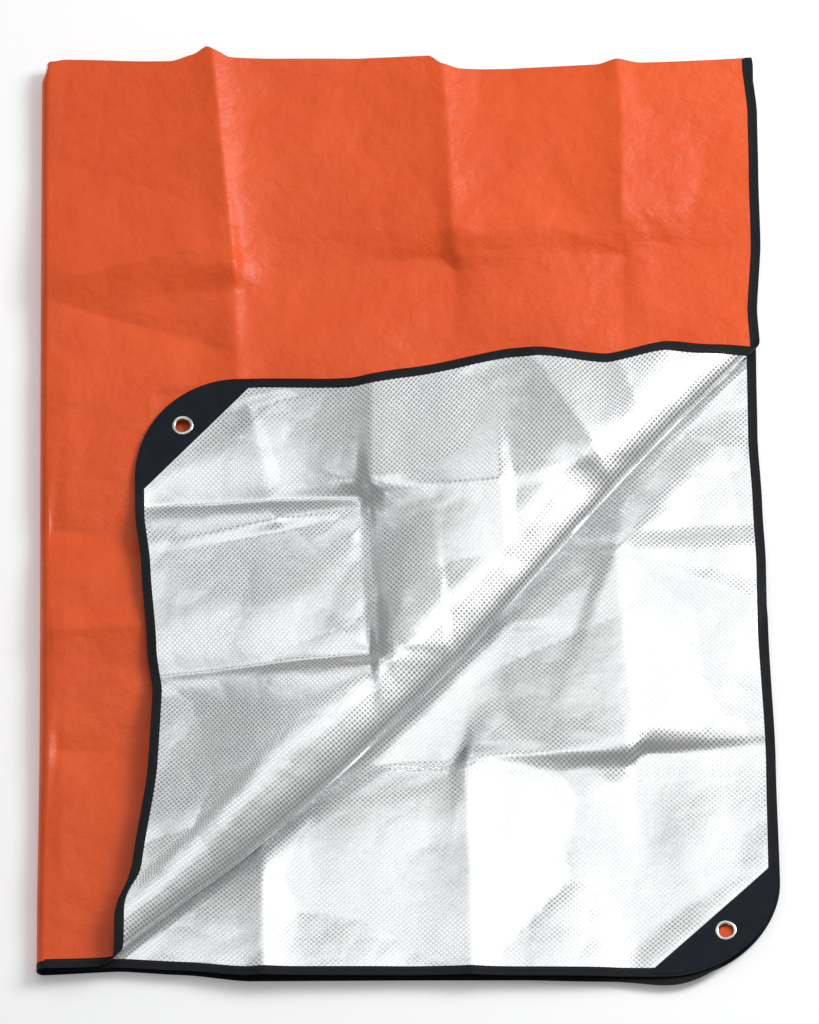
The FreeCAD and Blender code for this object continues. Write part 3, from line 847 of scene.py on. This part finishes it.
# Fold strips: the cloth's turn between two quarters.
def turn_strip(first, second, outward, reach, rows, rise):
    """Half a turn from each place of first to the same place of second."""
    middle, half = (first + second) / 2, (second - first) / 2
    turns = np.linspace(-math.pi / 2, math.pi / 2, rows)
    places = np.array([middle + half * math.sin(t) + outward * reach[:, None] * math.cos(t) for t in turns])
    around = np.gradient(places, axis=0)
    lengthways = np.gradient(places, axis=1)
    normal = np.cross(lengthways, around)
    normal /= np.linalg.norm(normal, axis=2)[..., None] + 1e-12
    if (normal[rows // 2] @ outward).mean() < 0:
        normal = -normal
    return places + normal * rise, normal


def grid_faces(rows, columns):
    """Triangles over a grid of places."""
    faces = []
    for i in range(rows - 1):
        for j in range(columns - 1):
            k = i * columns + j
            faces += [(k, k + 1, k + columns + 1), (k, k + columns + 1, k + columns)]
    return np.array(faces)


def facing(places, faces, normals):
    """Turns the faces so that they agree with the normals."""
    a, b, c = (places[faces[:, k]] for k in range(3))
    wrong = (np.cross(b - a, c - a) * normals[faces[:, 0]]).sum(1) < 0
    faces = faces.copy()
    faces[wrong] = faces[wrong][:, ::-1]
    return faces


STRIP_STEP = 0.7 * MM  # what each row of a strip adds to its place on the flat cloth
FOLDS = {
    # lower quarter, upper quarter, outside colour, reach
    "upper_fold": ("c", "d", "orange", 3.2 * MM),
    "lower_fold": ("a", "b", "orange", 3.2 * MM),
    "inner_fold": ("b", "c", "silver", 2.6 * MM),
    "outer_fold": ("a", "d", "orange", 8.0 * MM),
}


def fold_stations(fold):
    """Places along the fold, in plan, for its lower and its upper quarter."""
    lower, upper = FOLDS[fold][:2]
    if fold in ("upper_fold", "lower_fold"):
        share = np.linspace(0, 1, 190)
        lines = [np.column_stack([LEFT[q] + share * (RIGHT[q] - LEFT[q]), np.full(190, TOP)])
                 for q in (lower, upper)]
        return lines, np.array([0, 1.0, 0]), ease(share * 40)
    share = np.linspace(0, 1, 260)
    lines = [np.column_stack([np.full(260, LEFT[q]), TOP + share * (BOTTOM - TOP)]) for q in (lower, upper)]
    return lines, np.array([-1.0, 0, 0]), ease(share * 50)


def fold_bodies(fold, made, half):
    """The other strips keep their places; each half of the outer fold rides on one of its quarters."""
    if fold == "upper_fold":
        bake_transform(made)
    elif fold == "lower_fold":
        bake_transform(made)
    elif fold == "inner_fold":
        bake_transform(made)
    else:
        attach(made, "quarter_a" if half == "_a" else "quarter_d")


def make_fold(fold, looks):
    """The fold's two film faces and its tape at the open end."""
    lower, upper, outside, reach = FOLDS[fold]
    lines, outward, taper = fold_stations(fold)
    first, _ = carry(lower, lines[0])
    second, _ = carry(upper, lines[1])
    rows = 17
    spread = 0.25 * reach + 0.75 * reach * taper
    halves = (("", slice(0, rows)),)
    if fold == "outer_fold":
        halves = (("_a", slice(0, rows // 2 + 1)), ("_d", slice(rows // 2, rows)))
    edge = np.hypot(*(lines[1] - lines[1][-1]).T)
    for half, span in halves:
        node = f"{fold}{half}"
        for side, colour in ((1, outside), (-1, "silver" if outside == "orange" else "orange")):
            places, normal = turn_strip(first, second, outward, spread, rows, side * FILM)
            places, normal = places[span], normal[span] * side
            plan = np.stack([np.broadcast_to(lines[1][:, k], places.shape[:2]) for k in (0, 1)], axis=2)
            plan = plan + np.arange(len(places))[:, None, None] * STRIP_STEP * (outward[:2] != 0)
            flat = places.reshape(-1, 3)
            faces = facing(flat, grid_faces(*places.shape[:2]), normal.reshape(-1, 3))
            made = make_mesh(f"{node}_{colour}", flat, faces, normal.reshape(-1, 3), plan.reshape(-1, 2))
            fold_bodies(fold, made, half)
            dress(made, looks[colour], [f"{node}_film"])
        start = np.argmax(edge < TAPE_WIDE)
        outer, normal = turn_strip(first, second, outward, spread, rows, 0.52 * MM)
        inner, _ = turn_strip(first, second, outward, spread, rows, -0.52 * MM)
        outer, inner = outer[span, start:], inner[span, start:]
        count = outer.shape[0] * outer.shape[1]
        flat = outer.reshape(-1, 3)
        sheet = facing(flat, grid_faces(*outer.shape[:2]), normal[span, start:].reshape(-1, 3))
        columns = outer.shape[1]
        ends = []
        for i in range(outer.shape[0] - 1):
            for j in (0, columns - 1):
                k = i * columns + j
                ends += [(k, k + columns, k + columns + count), (k, k + columns + count, k + count)]
        faces = np.vstack([sheet, sheet[:, ::-1] + count, ends])
        made = make_mesh(f"{node}_edge_tape", np.vstack([flat, inner.reshape(-1, 3)]), faces)
        fold_bodies(fold, made, half)
        dress(made, looks["tape"], [f"{node}_tape"])


# Materials.
class Nodes:
    """A short way to write the nodes of a material or a world; its shader is named."""

    def __init__(self, owner, shader="Principled BSDF"):
        owner.use_nodes = True
        self.owner = owner
        self.tree = owner.node_tree
        self.shader = self.tree.nodes[shader]

    def shade(self, inputs):
        """Values or links for the shader's inputs."""
        for key, value in inputs.items():
            self.put(self.shader.inputs[key], value)

    def add(self, kind, inputs=(), **settings):
        node = self.tree.nodes.new(kind)
        for key, value in settings.items():
            setattr(node, key, value)
        for key, value in dict(inputs).items():
            self.put(node.inputs[key], value)
        return node

    def put(self, socket, value):
        if isinstance(value, bpy.types.NodeSocket):
            self.tree.links.new(value, socket)
        elif isinstance(value, bpy.types.Node):
            self.tree.links.new(value.outputs[0], socket)
        else:
            socket.default_value = value

    def math(self, operation, a, b=0.0, clamp=False):
        return self.add("ShaderNodeMath", {0: a, 1: b}, operation=operation, use_clamp=clamp).outputs[0]

    def mix(self, factor, a, b):
        node = self.add("ShaderNodeMix", data_type="RGBA")
        self.put(node.inputs["Factor"], factor)
        self.put(node.inputs[6], a)
        self.put(node.inputs[7], b)
        return node.outputs[2]

    def ramp(self, value, stops):
        node = self.add("ShaderNodeValToRGB", {0: value})
        elements = node.color_ramp.elements
        while len(elements) < len(stops):
            elements.new(0.5)
        for element, (place, colour) in zip(elements, stops):
            element.position = place
            element.color = colour if len(colour) == 4 else (*colour, 1)
        return node.outputs[0]

    def noise(self, place, scale, detail=3.0, roughness=0.5):
        node = self.add("ShaderNodeTexNoise", {"Scale": scale, "Detail": detail, "Roughness": roughness})
        self.put(node.inputs["Vector"], place)
        return node.outputs[0]

    def bump(self, height, strength, distance, under=None):
        node = self.add("ShaderNodeBump", {"Strength": strength, "Distance": distance})
        self.put(node.inputs["Height"], height)
        if under is not None:
            self.put(node.inputs["Normal"], under)
        return node.outputs[0]


def flat_place(nodes):
    """The cloth's own flat coordinates, in metres."""
    return nodes.add("ShaderNodeUVMap", uv_map="flat").outputs[0]


def across(nodes, place, way, pitch):
    """A saw from 0 to 1 across stripes that repeat at pitch."""
    split = nodes.add("ShaderNodeSeparateXYZ", {0: place})
    total = nodes.math("ADD", nodes.math("MULTIPLY", split.outputs[0], way[0] / pitch),
                       nodes.math("MULTIPLY", split.outputs[1], way[1] / pitch))
    return nodes.math("FRACT", total)


def ridge(nodes, saw, width):
    """1 in the middle of the stripe, 0 beyond its half width."""
    off = nodes.math("ABSOLUTE", nodes.math("SUBTRACT", saw, 0.5))
    return nodes.math("SUBTRACT", 1.0, nodes.math("DIVIDE", off, width, clamp=True), clamp=True)


def net_of(nodes, place, width):
    """The reinforcing net: two sets of strands that slant across each other."""
    slant = math.sqrt(0.5)
    one = ridge(nodes, across(nodes, place, (slant, slant), NET_PITCH), width)
    other = ridge(nodes, across(nodes, place, (slant, -slant), NET_PITCH), width)
    return nodes.math("MAXIMUM", one, other)


def orange_look():
    """Satin orange film over the net, which shows faintly."""
    nodes = Nodes(bpy.data.materials.new("orange_film"))
    place = flat_place(nodes)
    tone = nodes.noise(place, 9.0, 4.0)
    base = nodes.ramp(tone, [(0.30, (0.80, 0.090, 0.012)), (0.70, (0.87, 0.110, 0.016))])
    net = net_of(nodes, place, 0.20)
    colour = nodes.mix(nodes.math("MULTIPLY", net, 0.16), base, (0.72, 0.055, 0.010, 1))
    crumple = nodes.noise(place, 34.0, 5.0, 0.55)
    fine = nodes.noise(place, 210.0, 2.0)
    normal = nodes.bump(crumple, 0.45, 0.006)
    normal = nodes.bump(fine, 0.16, 0.0008, normal)
    normal = nodes.bump(net, 0.25, 0.00025, normal)
    nodes.shade({"Base Color": colour, "Normal": normal, "Roughness": 0.40, "Specular IOR Level": 0.34})
    return nodes.owner


def silver_look():
    """Mirror-like film, duller and paler over the net's strands."""
    nodes = Nodes(bpy.data.materials.new("silver_film"))
    place = flat_place(nodes)
    net = net_of(nodes, place, 0.19)
    tone = nodes.noise(place, 12.0, 4.0)
    cell = nodes.ramp(tone, [(0.35, (0.74, 0.76, 0.77)), (0.68, (0.84, 0.85, 0.85))])
    thread = (0.93, 0.94, 0.94, 1)
    strength = nodes.math("MULTIPLY", net, 1.4, clamp=True)
    colour = nodes.mix(strength, cell, thread)
    rough = nodes.add("ShaderNodeMapRange", {"Value": strength, "To Min": 0.20, "To Max": 0.46})
    crumple = nodes.noise(place, 26.0, 2.0, 0.4)
    dimple = nodes.noise(place, 120.0, 2.0)
    normal = nodes.bump(crumple, 0.20, 0.004)
    normal = nodes.bump(dimple, 0.06, 0.001, normal)
    normal = nodes.bump(net, 0.20, 0.0003, normal)
    nodes.shade({"Base Color": colour, "Metallic": 1.0, "Roughness": rough.outputs[0], "Normal": normal})
    return nodes.owner


def cloth_look(name, colour, weave, rough):
    """Dull woven cloth with threads a weave apart."""
    nodes = Nodes(bpy.data.materials.new(name))
    place = flat_place(nodes)
    warp = ridge(nodes, across(nodes, place, (1, 0), weave), 0.5)
    weft = ridge(nodes, across(nodes, place, (0, 1), weave), 0.5)
    cloth = nodes.math("MULTIPLY", warp, weft)
    tone = nodes.noise(place, 60.0, 3.0)
    light = tuple(min(1, c * 1.7) for c in colour)
    nodes.shade({"Base Color": nodes.mix(tone, (*colour, 1), (*light, 1)),
                 "Normal": nodes.bump(cloth, 0.4, 0.00025), "Roughness": rough,
                 "Specular IOR Level": 0.12, "Sheen Weight": 0.02, "Sheen Roughness": 0.4})
    return nodes.owner


def thread_look():
    """Black sewing thread."""
    nodes = Nodes(bpy.data.materials.new("thread"))
    nodes.shade({"Base Color": (0.010, 0.011, 0.014, 1), "Roughness": 0.55})
    return nodes.owner


def nickel_look():
    """Plated metal, slightly uneven in tone."""
    nodes = Nodes(bpy.data.materials.new("nickel"))
    place = nodes.add("ShaderNodeTexCoord").outputs["Object"]
    tone = nodes.noise(place, 400.0, 3.0)
    colour = nodes.ramp(tone, [(0.3, (0.70, 0.68, 0.64)), (0.7, (0.82, 0.80, 0.77))])
    nodes.shade({"Base Color": colour, "Metallic": 1.0, "Roughness": 0.18})
    return nodes.owner


def make_looks():
    """Every material, by the name its pieces ask for."""
    return {
        "orange": orange_look(),
        "silver": silver_look(),
        "tape": cloth_look("edge_tape", (0.0085, 0.0095, 0.0115), 0.9 * MM, 0.62),
        "patch": cloth_look("patch", (0.0065, 0.0095, 0.0145), 1.1 * MM, 0.60),
        "thread": thread_look(),
        "nickel": nickel_look(),
    }


# The studio.
def floor():
    """A plain pale floor."""
    bpy.ops.mesh.primitive_plane_add(size=30, location=(0, 0, -0.0006))
    plane = bpy.context.object
    plane.name = "floor"
    nodes = Nodes(bpy.data.materials.new("floor"))
    nodes.shade({"Base Color": (0.97, 0.97, 0.97, 1), "Emission Color": (1, 1, 1, 1),
                 "Emission Strength": 0.16, "Roughness": 0.9})
    plane.data.materials.append(nodes.owner)


def area_light(name, place, target, size, power):
    """A soft rectangular light at place that shines towards target."""
    data = bpy.data.lights.new(name, "AREA")
    data.shape = "RECTANGLE"
    data.size, data.size_y = size
    data.energy = power
    light = bpy.data.objects.new(name, data)
    light.location = place
    light.rotation_euler = (Vector(target) - Vector(place)).to_track_quat("-Z", "Y").to_euler()
    bpy.context.scene.collection.objects.link(light)


def studio():
    """Surroundings from grey to bright and one soft light, so that the silver shows both white and grey."""
    sky = Nodes(bpy.data.worlds.new("studio"), "Background")
    way = sky.add("ShaderNodeTexCoord").outputs["Generated"]
    panels = sky.add("ShaderNodeTexNoise", {"Vector": way, "Scale": 4.2, "Detail": 0.0}).outputs[0]
    towards = (0.06, math.cos(CAMERA_HIGH), math.sin(CAMERA_HIGH))
    lean = sky.add("ShaderNodeVectorMath", {0: way, 1: towards}, operation="DOT_PRODUCT")
    lit = sky.add("ShaderNodeMath", {0: panels, 1: 0.9, 2: lean.outputs["Value"]}, operation="MULTIPLY_ADD")
    limits = {"Value": lit, "From Min": 1.23, "From Max": 1.51, "To Min": 0.28, "To Max": 1.42}
    tone = sky.add("ShaderNodeMapRange", limits, interpolation_type="SMOOTHSTEP")
    sky.shade({"Color": (0.98, 0.99, 1.0, 1), "Strength": tone})
    bpy.context.scene.world = sky.owner
    bpy.context.scene.view_settings.view_transform = "Standard"
    area_light("key", (2.3, 1.3, 2.2), (0, 0, 0), (1.6, 1.6), 88)


def camera():
    """From above the bottom edge, far away, so that the folded blanket fills the picture's width."""
    target = Vector((0.0056, 0.0103, 0.0))
    data = bpy.data.cameras.new("camera")
    data.lens = data.sensor_width * CAMERA_AWAY / SEEN
    view = bpy.data.objects.new("camera", data)
    view.location = target + Vector((0, -math.cos(CAMERA_HIGH), math.sin(CAMERA_HIGH))) * CAMERA_AWAY
    view.rotation_euler = (target - view.location).to_track_quat("-Z", "Y").to_euler()
    data.clip_end = 100
    bpy.context.scene.collection.objects.link(view)
    bpy.context.scene.camera = view


looks = make_looks()
for quarter in QUARTERS:
    make_films(quarter, looks)
    make_edge_tape(quarter, looks)
    make_patch(quarter, looks)
    make_stitches(quarter, looks)
    make_eyelet(quarter, looks)
for fold in FOLDS:
    make_fold(fold, looks)
floor()
studio()
camera()
